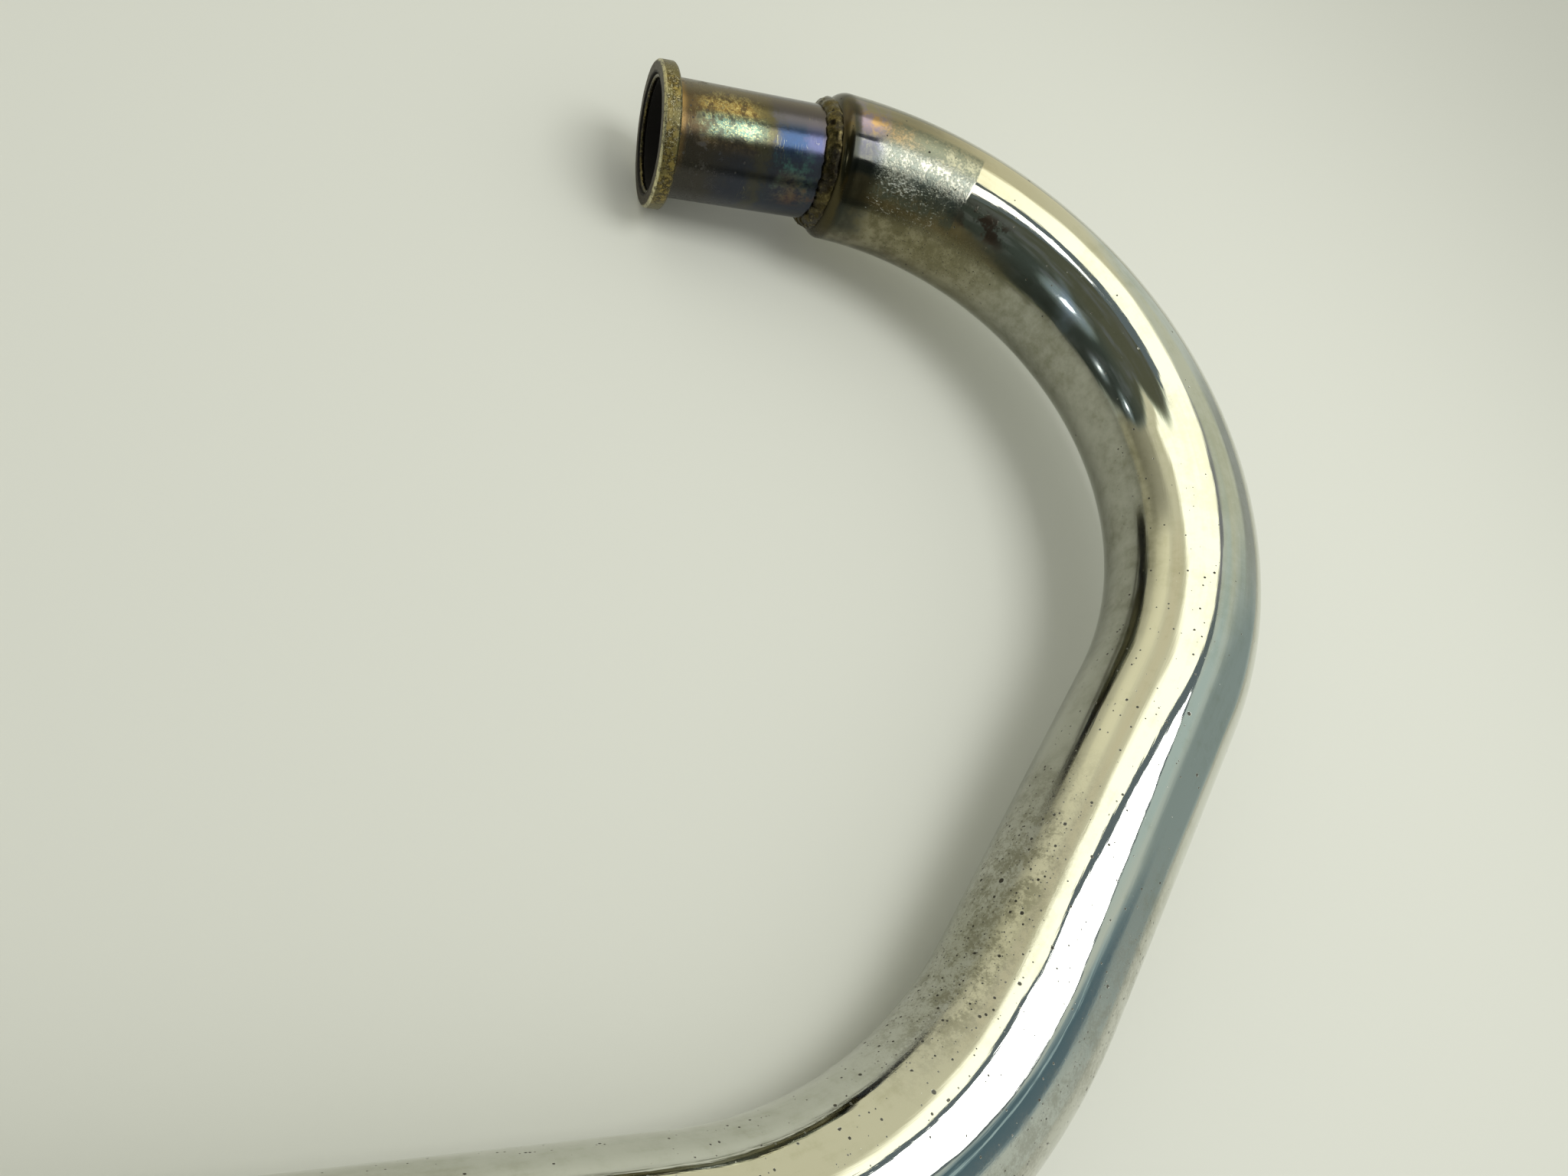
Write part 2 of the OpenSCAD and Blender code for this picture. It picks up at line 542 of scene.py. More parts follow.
@dataclass(frozen=True)
class WornChrome(Finish):
    """Chrome with a tinted neck, a dull patch beside it, pits, dirt in the bends, an inner side
    darkened partly by tarnish and partly as painted shade, and painted shade by the shoulder.
    """

    rough: float = 0.03
    rough_grain: float = 0.04
    depth: float = 0.09
    clean: str = "#d8d9d0"
    broad: Grain = Grain(22.0, 3.0)
    mottled: Grain = Grain(160.0, 6.0, 0.7)
    fine: Grain = Grain(1100.0, 4.0, 0.75)
    polish: Grain = Grain(620.0, 4.0, 0.6, along=0.05)
    swell: Grain = Grain(170.0, 2.0, along=0.16)
    flakes: Grain = Grain(1500.0, 5.0, 0.8, along=0.45)
    polish_swell: tuple[float, float] = (0.2, 0.95)

    film: Layer = Layer(
        "#aeb096", area=Area(share=0.05, broken=0.35, breaks=(0.8, 1.05)), rough=0.1
    )
    film_weights: tuple[float, float, float] = (0.6, 0.8, 0.3)
    # Inner side: partly tarnish, partly painted shade that darkens the floor the chrome mirrors
    # there.
    inner: Layer = Layer(
        "#63624c", area=Area(side=(2, 39, 9), share=0.56, broken=0.3, breaks=(0.36, 0.64)), rough=0.12
    )
    inner_weights: tuple[float, float] = (0.6, 0.4)
    inner_strong: Area = Area(along=(400, 340))
    inner_least: float = 0.4

    straw: Layer = Layer("#b3a675", 0.4, Area(along=(150, 90)))
    orange: Layer = Layer("#b98a4c", 0.75, Area(along=(92, 70), side=(274, 8, 8)))
    olive: Layer = Layer("#6c6753", 0.8, Area(along=(112, 76), side=(240, 24, 12)))
    lilac: Layer = Layer("#8580a3", 0.75, mottling(0.38, 0.56, along=(73, 66), side=(282, 30, 12)))
    # Darker olive mottling over the downward side near the neck.
    soot: Layer = Layer(
        "#4a4530",
        area=Area(along=(138, 74), side=(5, 62, 18), share=0.36, broken=0.4, breaks=(0.38, 0.6)),
    )
    shade: Layer = Layer("#30332f", 0.85, Area(along=(74, 65), side=(328, 44, 12)))
    tint_stray: tuple[float, float] = (26.0, 22.0)
    lip: Layer = Layer("#453f2a", 0.92, Area(along=(62.6, 60.2)))
    lip_stray: tuple[float] = (4.0,)
    lip_rough: float = 2.2
    # Painted shade: a dark line on one side where the shoulder meets the straight pipe.
    painted_crease_shade: Layer = Layer("#30332f", 0.8, Area(along=(59.8, 62.4, 0.8), side=(312, 50, 16)))
    painted_crease_stray: tuple[float] = (3.0,)
    hot: Area = Area(along=(110, 70))
    hot_rough: float = 0.07

    etched: Layer = Layer(
        "#5a6862",
        0.72,
        Area(along=(66, 74), side=(297, 34, 4), share=0.5, broken=0.5, breaks=(0.4, 0.6)),
    )
    etched_grit: float = 0.9
    patch_end: Area = Area(along=(104.3, 103.7))
    patch_stray: tuple[float] = (1.6,)
    dull_rough: float = 0.13
    dull_relief: float = 0.6
    scuff: Layer = Layer("#dfe2dc", 0.85, rough=0.35, relief=0.5)
    scuff_row: Area = Area(along=(72, 90, 8), side=(315, 7, 7))
    scuff_strays: Area = Area(along=(68, 100, 5), side=(320, 24, 12), share=0.6)
    scuff_gap: float = 0.2
    scuff_levels: tuple[float, float] = (0.50, 0.58)
    stain: Layer = Layer("#6b4632", 0.8, mottling(0.46, 0.56, along=(105, 124, 5), side=(314, 9, 4)))
    stain_dull: float = 0.6

    hazes: tuple[Area, ...] = (
        Area(along=(362, 470, 22), side=(232, 18, 12), share=0.6),
        Area(along=(352, 436, 24), side=(334, 22, 20)),
        Area(along=(82, 128, 14), side=(350, 18, 14), share=0.65),
    )
    dirt: Layer = Layer(
        "#5c5839", 0.72, Area(share=0.4, broken=0.6, breaks=(0.4, 0.64)), 0.28, -0.35, -0.2
    )
    dirt_grit: float = 0.8
    underside: Area = Area(along=(150, 360), side=(325, 48, 26))
    specks: tuple[Speck, ...] = (
        Speck(4.6, 0.5, share=0.049, haze=0.35, under=0.21),
        Speck(2.3, 0.27, share=0.084, haze=0.6, under=0.36),
        Speck(1.1, 0.17, share=0.0, haze=0.75, under=0.08, strength=0.75),
    )
    pit: Layer = Layer("#2a2718", rough=0.5, metal=-0.9, relief=-1.0)
    pit_depths: tuple[float, float] = (0.5, 0.9)

    def paint(self, paint: Painter, place: Place) -> Coat:
        """Lays the film, the inner side's tarnish and painted shade, the tint, the dull patch, the
        dirt and the pits over the chrome.
        """
        broad, mottled, fine, polish, swell = (
            paint.noise(place.vector, grain)
            for grain in (self.broad, self.mottled, self.fine, self.polish, self.swell)
        )
        relief = weighted((polish, swell), self.polish_swell)
        coat = Coat(place, self.clean, self.uneven_rough(polish), relief)
        coat.add(self.film, grain=weighted((mottled, broad, polish), self.film_weights))
        # Darkens the inner side, as tarnish and as painted shade for the mirrored floor.
        inner = place.mask(self.inner.area, grain=weighted((broad, mottled), self.inner_weights))
        coat.lay(self.inner, inner * place.mask(self.inner_strong).highest(self.inner_least))
        self.tint(coat, mottled, broad)
        self.patch(coat, mottled, fine)
        self.dirty(coat, mottled, fine, broad)
        return coat

    def tint(self, coat: Coat, mottled: Signal, broad: Signal) -> None:
        """Colours the shoulder and the first stretch of the bend with heat tint, where the gas was
        hottest, and lays painted shade there: the shade layer and a dark crease line.

        Args:
            coat: The coat so far.
            mottled: A middling noise.
            broad: A broad noise.
        """
        place = coat.place
        reach = place.stray((broad, mottled), self.tint_stray)
        for layer in (self.straw, self.orange, self.olive, self.lilac, self.soot, self.shade):
            coat.add(layer, reach, mottled)
        lip = coat.add(self.lip, place.stray((mottled,), self.lip_stray))
        # Painted shade along the shoulder's crease.
        coat.add(self.painted_crease_shade, place.stray((mottled,), self.painted_crease_stray))
        hot = place.mask(self.hot, reach).highest(lip * self.lip_rough)
        coat.alter(hot, rough=self.hot_rough)

    def patch(self, coat: Coat, mottled: Signal, fine: Signal) -> None:
        """Dulls a patch beside the neck, with a straight far edge and bright scuffs.

        Args:
            coat: The coat so far.
            mottled: A middling noise.
            fine: A fine noise.
        """
        place, paint = coat.place, coat.paint
        edge = place.stray((fine,), self.patch_stray)
        grit = mottled + (fine - MIDDLE) * self.etched_grit
        worn = place.mask(self.etched.area, edge, grit) * place.mask(self.patch_end, edge)
        coat.lay(self.etched, worn)
        near = place.mask(self.scuff_row).highest(place.mask(self.scuff_strays))
        flakes = paint.noise(place.vector, self.flakes) + (near - 1.0) * self.scuff_gap
        coat.lay(self.scuff, flakes.rise(*self.scuff_levels))
        spots = coat.add(self.stain, grain=mottled)
        dull = worn.highest(spots * self.stain_dull)
        coat.alter(dull, rough=self.dull_rough)
        coat.alter(dull * fine, relief=self.dull_relief)

    def dirty(self, coat: Coat, mottled: Signal, fine: Signal, broad: Signal) -> None:
        """Lays a brown haze with specks in the bends, and scatters pits.

        Args:
            coat: The coat so far.
            mottled: A middling noise.
            fine: A fine noise.
            broad: A broad noise.
        """
        place, paint = coat.place, coat.paint
        haze = place.mask(self.hazes[0])
        for area in self.hazes[1:]:
            haze = haze.highest(place.mask(area))
        grit = mottled + (fine - MIDDLE) * self.dirt_grit
        coat.lay(self.dirt, haze * place.mask(self.dirt.area, grain=grit))

        under = place.mask(self.underside)
        marks: Signal | None = None
        for speck in self.specks:
            share = haze * speck.haze + under * speck.under + speck.share
            found = paint.specks(place.vector, speck, share) * speck.strength
            marks = marks.highest(found) if marks else found
        least, growth = self.pit_depths
        coat.lay(self.pit, marks * (broad * growth + least).lowest(1.0))


@dataclass(frozen=True)
class HeatTint(Finish):
    """Steel of the gas pipe, straw by the collar and blue by the neck, and sooty inside."""

    rough: float = 0.19
    rough_grain: float = 0.3
    least_rough: float = 0.09
    depth: float = 0.05
    brown: str = "#4f4330"
    broad: Grain = Grain(60.0, 3.0)
    mottled: Grain = Grain(300.0, 7.0, 0.75)
    fine: Grain = Grain(1700.0, 4.0, 0.75)
    relief_weights: tuple[float, float] = (0.6, 0.4)
    tint_stray: tuple[float, float] = (10.0, 14.0)

    gold: Layer = Layer("#87703e", area=mottling(0.42, 0.6, along=(10, 17)))
    olive: Layer = Layer("#504d38", 0.85, Area(along=(27, 32)))
    blue: Layer = Layer("#293e5c", area=Area(along=(33, 39), share=0.55, broken=0.6))
    violet: Layer = Layer("#56526a", 0.5, Area(along=(43, 48)))
    burnt_end: Layer = Layer("#4f4330", area=Area(along=(50, 54)))
    top: Layer = Layer("#6f685a", 0.9, Area(side=(234, 30, 10)))
    ash: Layer = Layer("#5f5a5e", 0.75, Area(along=(33, 38), side=(246, 36, 7)))

    # Painted highlights on the lit side: a teal glint band, pale flecks and a pale smear.
    glint: Layer = Layer(
        "#5d8f86",
        area=Area(along=(14, 31, 4), side=(297, 8, 8), share=0.2, broken=0.6, breaks=(0.42, 0.58)),
    )
    painted_glint_fleck: Layer = Layer("#cfc78c", 0.7, mottling(0.5, 0.58, along=(14, 31, 4), side=(297, 8, 8)))
    painted_glint_smear: Layer = Layer("#cfc78c", 0.42, mottling(0.48, 0.6, along=(14, 30, 4), side=(270, 12, 8)))
    fleck_weights: tuple[float, float] = (0.5, 0.5)

    # Painted shade for the side that faces down: dark umber and navy, with real tints kept in it.
    shade_umber: str = "#403e3a"
    painted_night_shade: Layer = Layer("#323845", area=Area(along=(13, 24), share=0.5, broken=0.6))
    olive_ring: Layer = Layer("#504d38", 0.5, Area(along=(29, 34, 2.5)))
    faint_teal: Layer = Layer(
        "#5d8f86", 0.5, mottling(0.42, 0.66, along=(38, 50, 4), side=(332, 24, 16))
    )
    below: Area = Area(side=(26, 74, 15))
    below_edge: Area = Area(side=(306, 18, 10))
    below_stray: tuple[float, float] = (1.1, 0.5)
    below_share: float = 0.97

    rust: Layer = Layer("#6e4c30", 0.55, mottling(0.46, 0.6, along=(38, 51, 5), side=(348, 14, 10)))
    rust_weights: tuple[float, float] = (0.6, 0.4)
    tan: Layer = Layer("#94794c", 0.7, Area(along=(8.5, 6), side=(262, 60, 34)))
    scale: Layer = Layer("#403e3a", 0.75, rough=0.25, metal=-0.5, relief=-0.6)
    scale_specks: Speck = Speck(1.8, 0.32, share=0.45)
    scale_fade: Area = Area(along=(40, 20))
    scale_ring: Area = mottling(0.55, 0.64, along=(9, 22, 4))
    scratch: Layer = Layer("#cfc78c", 0.45)
    scratch_lines: Grain = Grain(120.0, 1.0, along=7.0)
    scratch_levels: tuple[float, float, float] = (0.497, 0.503, 0.002)
    scratch_groups: Grain = Grain(90.0, 1.0)
    group_levels: tuple[float, float] = (0.56, 0.62)
    soot: Layer = Layer("#17130f", area=Area(radii=(17.1, 16.7)), rough=0.6, metal=-0.95)
    hot_end: Area = Area(along=(30, 10))
    hot_rough: float = 0.08

    def paint(self, paint: Painter, place: Place) -> Coat:
        """Lays bands of tint, painted highlights (a teal glint, pale flecks and a smear) along the
        lit side, painted shade below, then stains and soot.
        """
        broad, mottled, fine = (
            paint.noise(place.vector, grain) for grain in (self.broad, self.mottled, self.fine)
        )
        reach = place.stray((broad, mottled), self.tint_stray)
        relief = weighted((mottled, fine), self.relief_weights)
        coat = Coat(place, self.brown, self.uneven_rough(mottled), relief)
        coat.alter(place.mask(self.hot_end), rough=self.hot_rough)
        coat.add(self.gold, reach, mottled)
        coat.add(self.olive, reach)
        coat.add(self.blue, reach, broad)
        coat.add(self.violet, reach)
        coat.add(self.burnt_end)
        coat.add(self.top)
        coat.add(self.ash, reach)
        # Painted highlights along the lit side.
        coat.add(self.glint, reach, mottled)
        sparkle = weighted((mottled, fine), self.fleck_weights)
        for layer in (self.painted_glint_fleck, self.painted_glint_smear):
            coat.add(layer, reach, sparkle)
        self.paint_shade_below(coat, reach, mottled, broad)
        coat.add(self.rust, grain=weighted((mottled, broad), self.rust_weights))
        coat.add(self.tan)
        self.mark(coat, mottled)
        coat.add(self.soot)
        return coat

    def paint_shade_below(self, coat: Coat, reach: Signal, mottled: Signal, broad: Signal) -> None:
        """Paints the side that faces down darker, as painted shade, keeping the olive ring and a
        faint teal tint in it.

        Args:
            coat: The coat so far.
            reach: The station that the tints go by.
            mottled: A middling noise.
            broad: A broad noise.
        """
        place = coat.place
        # Painted shade: the darker coat of the downward side.
        shaded_coat = Coat(place, self.shade_umber)
        for layer in (self.painted_night_shade, self.olive_ring, self.faint_teal):
            shaded_coat.add(layer, reach, mottled)
        stray = weighted((mottled - MIDDLE, broad - MIDDLE), self.below_stray)
        below = place.mask(self.below) + stray * place.mask(self.below_edge)
        below = below.math("MAXIMUM", 0.0, clamp=True)
        coat.colour = coat.paint.mix(below * self.below_share, coat.colour, shaded_coat.colour)

    def mark(self, coat: Coat, mottled: Signal) -> None:
        """Lays flakes of scale and a few fine scratches.

        Args:
            coat: The coat so far.
            mottled: A middling noise.
        """
        place, paint = coat.place, coat.paint
        flakes = paint.specks(place.vector, self.scale_specks, self.scale_specks.share)
        flakes = flakes * place.mask(self.scale_fade)
        coat.lay(self.scale, flakes.highest(place.mask(self.scale_ring, grain=mottled)))
        lines = paint.noise(place.vector, self.scratch_lines).band(*self.scratch_levels)
        groups = paint.noise(place.vector, self.scratch_groups).rise(*self.group_levels)
        coat.lay(self.scratch, lines * groups)


@dataclass(frozen=True)
class ScaledSteel(Finish):
    """Steel of the collar: scale and straw stains outside, soot at the bore."""

    rough: float = 0.36
    rough_grain: float = 0.5
    least_rough: float = 0.18
    depth: float = 0.2
    base: str = "#6f6845"
    broad: Grain = Grain(150.0, 4.0)
    mottled: Grain = Grain(620.0, 6.0, 0.78)
    fine: Grain = Grain(2100.0, 4.0, 0.75)
    relief_weights: tuple[float, float] = (0.6, 0.4)

    straw: Layer = Layer("#9c8a50", 0.8, mottling(0.46, 0.66))
    dark: Layer = Layer("#2a2417", 0.9, mottling(0.48, 0.57))
    dark_weights: tuple[float, float] = (0.7, 0.3)
    # Bright flecks: pale scale all round, strengthened on the lit side as painted highlight.
    shine: Layer = Layer("#d2cba4", 0.8, mottling(0.52, 0.6))
    shine_weights: tuple[float, float] = (0.6, 0.4)
    lit: Area = Area(side=(288, 34, 25), share=0.75)
    lit_least: float = 0.25
    # Painted shade: the collar's front face darkened.
    front_face_shade: Layer = Layer("#3b342a", 0.85, Area(along=(0.75, 0.25), radii=(21.3, 20.6)), rough=0.12)
    rim: Area = Area(along=(0.05, 0.85, 0.2), radii=(20.4, 21.0))
    rim_rough: float = -0.1
    rim_wear: Layer = Layer("#d2cba4", 0.85, mottling(0.62, 0.48))
    soot: Layer = Layer("#1a1611", area=Area(radii=(18.5, 17.6)), rough=0.3, metal=-0.9)
    scale: Area = mottling(0.53, 0.64)
    scale_metal: float = -0.5

    def paint(self, paint: Painter, place: Place) -> Coat:
        """Lays stains, bright flecks that grow stronger on the lit side as painted highlight, the
        front face darkened as painted shade, the worn bevel and the soot.
        """
        broad, mottled, fine = (
            paint.noise(place.vector, grain) for grain in (self.broad, self.mottled, self.fine)
        )
        relief = weighted((mottled, fine), self.relief_weights)
        coat = Coat(place, self.base, self.uneven_rough(mottled), relief)
        coat.alter(place.mask(self.scale, grain=mottled), metal=self.scale_metal)
        coat.add(self.straw, grain=broad)
        coat.add(self.dark, grain=weighted((mottled, broad), self.dark_weights))
        flecks = place.mask(self.shine.area, grain=weighted((fine, mottled), self.shine_weights))
        coat.lay(self.shine, flecks * (place.mask(self.lit) + self.lit_least))
        coat.add(self.front_face_shade)
        rim = place.mask(self.rim)
        coat.lay(self.rim_wear, rim * place.mask(self.rim_wear.area, grain=mottled))
        coat.alter(rim, rough=self.rim_rough)
        coat.add(self.soot)
        return coat


@dataclass(frozen=True)
class BurntWeld(Finish):
    """Weld metal, burnt brown and olive, with dark pores, bare spots and one black crater."""

    rough: float = 0.29
    rough_grain: float = 0.6
    least_rough: float = 0.12
    depth: float = 0.1
    base: str = "#544c31"
    broad: Grain = Grain(150.0, 4.0)
    mottled: Grain = Grain(700.0, 5.0, 0.7)
    dark: Layer = Layer("#1f1a11", 0.8, mottling(0.48, 0.62))
    bare: Layer = Layer("#958a5f", 0.42, mottling(0.53, 0.63))
    shade: Layer = Layer("#1f1a11", 0.6, mottling(0.36, 0.52, side=(330, 34, 20)))
    pore: Layer = Layer("#1f1a11", rough=0.3, relief=-1.0)
    pores: Speck = Speck(3.0, 0.5, share=0.3)
    crater: Area = Area(along=(52.7, 54.1, 0.4), side=(277, 3, 1.5))
    scale: Area = mottling(0.5, 0.62)
    scale_metal: float = -0.35

    def paint(self, paint: Painter, place: Place) -> Coat:
        """Lays dark scale, bare spots and pores over the burnt metal."""
        broad, mottled = (paint.noise(place.vector, grain) for grain in (self.broad, self.mottled))
        coat = Coat(place, self.base, self.uneven_rough(mottled), mottled)
        coat.alter(place.mask(self.scale, grain=broad), metal=self.scale_metal)
        coat.add(self.dark, grain=broad)
        coat.add(self.bare, grain=mottled)
        coat.add(self.shade, grain=broad)
        pores = paint.specks(place.vector, self.pores, self.pores.share)
        coat.lay(self.pore, pores.highest(place.mask(self.crater)))
        return coat


@dataclass(frozen=True)
class Stretch:
    """A straight or bent stretch of the centre line."""

    start: Matrix
    station: float
    length: float
    bend_r: float
    roll: float

    @property
    def bent(self) -> bool:
        """Whether the stretch is a bend."""
        return self.bend_r > 0

    def after(self, distance: float) -> Matrix:
        """The frame at a distance along the stretch.

        Args:
            distance: Path length from its start in metres.

        Returns:
            A frame with +Z along the pipe and +X towards the inside of the bend.
        """
        if not self.bent:
            return self.start @ Matrix.Translation((0, 0, distance))
        turn = distance / self.bend_r
        moved = Matrix.Rotation(turn, 4, "Y")
        moved.translation = (self.bend_r * (1 - math.cos(turn)), 0, self.bend_r * math.sin(turn))
        return self.start @ moved

    def unbent(self, points: np.ndarray) -> tuple[np.ndarray, np.ndarray]:
        """Finds where points would lie if the pipe were straight.

        Args:
            points: Points in the row frame, one a line.

        Returns:
            Their unbent coordinates, and how far each lies from the centre line.
        """
        matrix = np.array(self.start.inverted())
        local = points @ matrix[:3, :3].T + matrix[:3, 3]
        if self.bent:
            ahead = np.arctan2(local[:, 2], self.bend_r - local[:, 0]) * self.bend_r
            across = self.bend_r - np.hypot(self.bend_r - local[:, 0], local[:, 2])
        else:
            ahead, across = local[:, 2], local[:, 0]
        outside = ahead - np.clip(ahead, 0, self.length)
        away = np.sqrt(across**2 + local[:, 1] ** 2 + outside**2)
        x = across * math.cos(self.roll) - local[:, 1] * math.sin(self.roll)
        y = across * math.sin(self.roll) + local[:, 1] * math.cos(self.roll)
        return np.c_[x, y, self.station + ahead], away


@dataclass(frozen=True)
class CentreLine:
    """The header's centre line, from the face of the collar to the tail end.

    Attributes:
        port_run: Straight run from the collar's face to the first bend.
        bend_r: Radius of both bends.
        first_angle: Angle of the first bend in degrees.
        mid_run: Straight run between the bends.
        twist_angle: Turn of the second bend about the middle run in degrees.
        second_angle: Angle of the second bend in degrees.
        tail_run: Straight run to the tail end.
        collar_t: Thickness of the collar.
    """

    port_run: float = 50 * MM
    bend_r: float = 112 * MM
    first_angle: float = 129.0
    mid_run: float = 92 * MM
    twist_angle: float = -15.0
    second_angle: float = 54.0
    tail_run: float = 240 * MM
    collar_t: float = 5.5 * MM

    def start(self) -> Matrix:
        """Reads the frame of the collar's face from the record's mounts.

        Returns:
            The frame, with +Z into the pipe and +X towards the inside of the first bend.
        """
        mounts = {mount["name"]: mount for mount in frame["record"]["mounts"]}
        z = -Vector(mounts["collar_rim"]["axis"]).normalized()
        middle = Vector(mounts["collar_rim"]["pos_m"])
        back = Vector(mounts["collar_back"]["pos_m"])
        x = back - middle - z * (back - middle).dot(z)
        x.normalize()
        turned = Matrix((x, z.cross(x), z)).transposed().to_4x4()
        turned.translation = middle - z * (self.collar_t / 2)
        return turned

    def stretches(self) -> list[Stretch]:
        """Lists the stretches in order.

        Returns:
            The port run, first bend, middle run, second bend and tail run.
        """
        roll = math.radians(self.twist_angle)
        plan = [
            (self.port_run, 0.0, 0.0),
            (self.bend_r * math.radians(self.first_angle), self.bend_r, 0.0),
            (self.mid_run, 0.0, 0.0),
            (self.bend_r * math.radians(self.second_angle), self.bend_r, roll),
            (self.tail_run, 0.0, roll),
        ]
        here, station, rolled, found = self.start(), 0.0, 0.0, []
        for length, radius, roll in plan:
            here = here @ Matrix.Rotation(roll - rolled, 4, "Z")
            rolled = roll
            found.append(Stretch(here, station, length, radius, roll))
            here = found[-1].after(length)
            station += length
        return found

    def at(self, station: float) -> Matrix:
        """The frame at a path length from the collar's face."""
        stretches = self.stretches()
        found = [s for s in stretches if station <= s.station + s.length] or stretches[-1:]
        return found[0].after(station - found[0].station)

    def unbend(self, points: np.ndarray) -> np.ndarray:
        """Finds where points would lie if the whole pipe were straight.

        Args:
            points: Points in the row frame, one a line.

        Returns:
            Their unbent coordinates.
        """
        results = [s.unbent(points) for s in self.stretches()]
        nearest = np.argmin([away for _, away in results], axis=0)
        return np.array([place for place, _ in results])[nearest, np.arange(len(points))]


class Bench:
    """Edit-mode work on one piece, which follows the centre line."""

    def __init__(self, name: str, line: CentreLine) -> None:
        """Notes what is modelled."""
        self.name = name
        self.line = line
        self.station = 0.0
        self.piece: bpy.types.Object | None = None

    def ring(self, station: float, radius: float, around: int) -> None:
        """Starts the piece with a ring of edges square to the centre line.

        Args:
            station: Path length of the ring in metres.
            radius: Its radius in metres.
            around: Its number of corners.
        """
        bpy.ops.object.select_all(action="DESELECT")
        here = self.line.at(station)
        bpy.ops.mesh.primitive_circle_add(
            vertices=around, radius=radius, location=here.translation, rotation=here.to_euler()
        )
        self.piece = bpy.context.active_object
        self.piece.name = self.name
        self.piece.data.name = self.name
        bpy.ops.object.transform_apply(location=True, rotation=True, scale=True)
        bpy.ops.object.mode_set(mode="EDIT")
        bpy.ops.mesh.select_mode(type="VERT")
        bpy.ops.mesh.select_all(action="SELECT")
        self.station = station

    def extrude(self, step: Vector) -> None:
        """Extrudes the selected ring by a step in the row frame."""
        bpy.ops.mesh.extrude_region_move(
            TRANSFORM_OT_translate={"value": tuple(step), "orient_type": "GLOBAL"}
        )

    def follow(self, end: float, spacing: float) -> None:
        """Carries the selected ring along the centre line.

        Args:
            end: Path length to stop at, in metres.
            spacing: Greatest distance between rings, in metres.
        """
        for stretch in self.line.stretches():
            stop = min(end, stretch.station + stretch.length)
            if stop - self.station < TOUCH or stretch.station > self.station + TOUCH:
                continue
            distance = stop - self.station
            count = max(1, math.ceil(distance / spacing))
            here = stretch.after(self.station - stretch.station)
            if stretch.bent:
                centre = here @ Vector((stretch.bend_r, 0, 0))
                axis = here.to_3x3() @ Vector((0, -1, 0))
                bpy.ops.mesh.spin(
                    steps=count, angle=distance / stretch.bend_r, center=centre, axis=axis
                )
            else:
                for _ in range(count):
                    self.extrude(here.to_3x3() @ Vector((0, 0, distance / count)))
            self.station = stop

    def widen(self, growth: float, radius: float) -> None:
        """Scales the selected ring about the centre line.

        Args:
            growth: Change of its radius in metres.
            radius: Its radius before the change in metres.
        """
        factor = (radius + growth) / radius
        middle = self.line.at(self.station).translation
        bpy.ops.transform.resize(value=(factor,) * 3, center_override=middle)

    def clean(self) -> None:
        """Merges doubles, points the faces outwards and leaves edit mode."""
        bpy.ops.mesh.select_all(action="SELECT")
        bpy.ops.mesh.remove_doubles(threshold=TOUCH)
        bpy.ops.mesh.normals_make_consistent(inside=False)
        bpy.ops.object.mode_set(mode="OBJECT")

    def modify(self, kind: str, **settings: object) -> None:
        """Adds a modifier with its settings and applies it."""
        modifier = self.piece.modifiers.new(kind, kind)
        for name, value in settings.items():
            setattr(modifier, name, value)
        bpy.ops.object.modifier_apply(modifier=modifier.name)

    def uneven(self, size: float, strength: float) -> None:
        """Pushes the surface in and out by a soft noise.

        Args:
            size: Width of its swells in metres.
            strength: Their greatest height in metres.
        """
        cloud = bpy.data.textures.new(self.name + "_swell", "CLOUDS")
        cloud.noise_scale = size
        cloud.noise_depth = 1
        settings = {"texture_coords": "LOCAL", "strength": strength, "mid_level": MIDDLE}
        self.modify("DISPLACE", texture=cloud, **settings)

    def hand_over(self, finish: Finish, node: str) -> bpy.types.Object:
        """Smooths, dresses and places the finished piece.

        Args:
            finish: Its material.
            node: The CAD node that it stands for.

        Returns:
            The piece.
        """
        piece = self.piece
        bpy.ops.object.select_all(action="DESELECT")
        piece.select_set(True)
        bpy.context.view_layer.objects.active = piece
        bpy.ops.object.shade_smooth_by_angle(angle=SMOOTH_ANGLE)
        mesh = piece.data
        points = np.zeros(len(mesh.vertices) * 3)
        mesh.vertices.foreach_get("co", points)
        unbent = self.line.unbend(points.reshape(-1, 3))
        attribute = mesh.attributes.new(STRAIGHT, "FLOAT_VECTOR", "POINT")
        attribute.data.foreach_set("vector", unbent.astype(np.float32).ravel())
        mesh.materials.append(finish.build())
        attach(piece, BODY)
        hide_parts(node)
        LOG.info("%s: %d faces", piece.name, len(mesh.polygons))
        return piece


